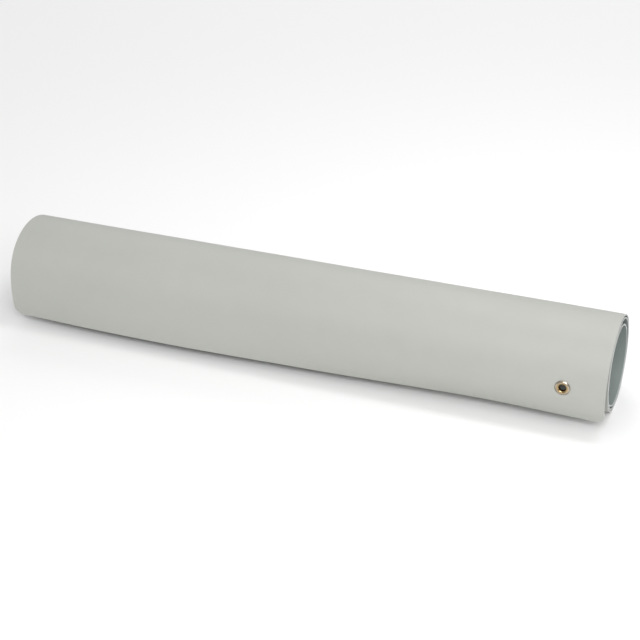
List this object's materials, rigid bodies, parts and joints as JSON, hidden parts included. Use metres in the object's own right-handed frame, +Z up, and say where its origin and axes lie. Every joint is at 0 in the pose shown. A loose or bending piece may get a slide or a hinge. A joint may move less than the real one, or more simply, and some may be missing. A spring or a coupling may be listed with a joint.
{
  "type": "rolled backdrop sheet",
  "caption": "Flexible vinyl photo backdrop sheet rolled into a loose coil, with a lifting outer flap and metal corner grommets for hanging.",
  "frame": {"origin": "on the flattened underside where the roll rests, under the axis of the roll, at the middle of its length", "axes": "+X along the roll towards the grommet end, -Y towards the front where the loose flap hangs, +Z up"},
  "size_m": [0.4572, 0.0767, 0.0709],
  "materials": {
    "vinyl": "smooth matte light grey vinyl with a faint sheen",
    "grommet_metal": "bright nickel plating on brass"
  },
  "bodies": {
    "coil": {"sheet_coil": "vinyl", "inner_eyelet": "grommet_metal", "inner_washer": "grommet_metal"},
    "flap": {"sheet_flap": "vinyl", "outer_eyelet": "grommet_metal", "outer_washer": "grommet_metal"}
  },
  "joints": [
    {"name": "flap_lift", "type": "hinge", "parent": "coil", "child": "flap", "pos_m": [0, -0.0064, 0.06979], "axis": [-1, 0, 0], "range_deg": [0, 40], "stiffness_Nm_per_rad": 0.03}
  ]
}
